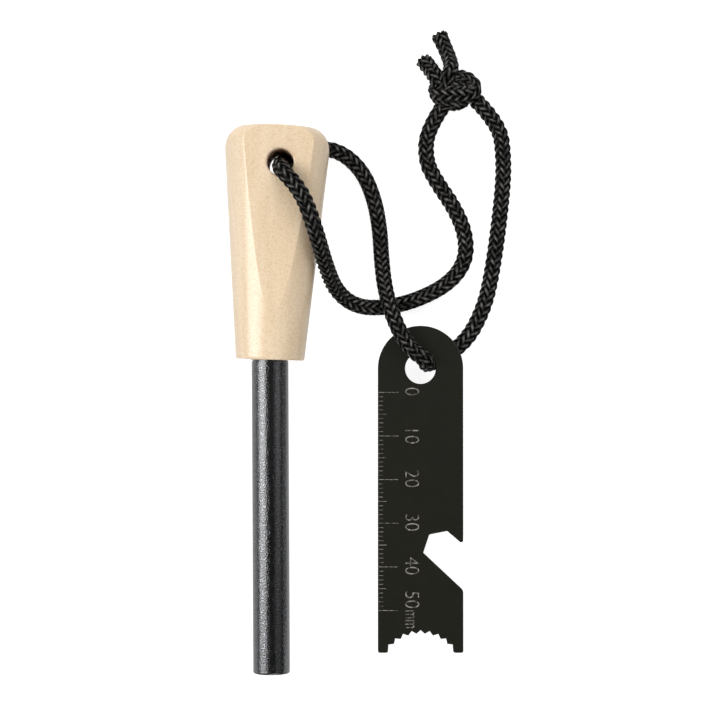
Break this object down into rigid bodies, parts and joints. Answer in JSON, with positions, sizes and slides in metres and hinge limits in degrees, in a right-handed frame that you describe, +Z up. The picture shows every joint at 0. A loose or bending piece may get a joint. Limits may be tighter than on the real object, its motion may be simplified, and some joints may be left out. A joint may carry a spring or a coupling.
{
  "type": "ferro rod fire starter",
  "caption": "Ferrocerium rod in a flat-sided wooden handle, with a steel scraper on a knotted loop of braided cord.",
  "frame": {"origin": "on the surface that the set lies on, under the middle of the handle, rod and striker", "axes": "+Z up from the surface, +Y along the handle towards its butt, +X towards the striker"},
  "size_m": [0.0661, 0.1496, 0.0263],
  "materials": {
    "handle_wood": "pale beech, thin satin varnish",
    "rod_coat": "black coat, fine speckle, satin",
    "adhesive": "cured clear adhesive",
    "blackened_steel": "blackened steel, satin",
    "braided_cord": "black braided sleeve, slight sheen"
  },
  "bodies": {
    "fire_rod": {"handle": "handle_wood", "ferro_rod": "rod_coat", "bond_sleeve": "adhesive"},
    "lanyard": {"cord_front_strand": "braided_cord", "cord_in_handle": "braided_cord", "cord_striker_strand": "braided_cord", "cord_knot": "braided_cord", "cord_long_tail": "braided_cord", "cord_short_tail": "braided_cord"},
    "striker": {"striker_plate": "blackened_steel"}
  },
  "joints": [
    {"name": "lanyard_swing", "type": "hinge", "parent": "fire_rod", "child": "lanyard", "pos_m": [-0.01447, 0.0527, 0.01317], "axis": [0, -0.0776, 0.997], "range_deg": [0, 60]},
    {"name": "striker_swing", "type": "hinge", "parent": "lanyard", "child": "striker", "pos_m": [0.0173, 0.00684, 0.0051], "axis": [0, -0.0644, 0.9979], "range_deg": [-15, 75]}
  ]
}
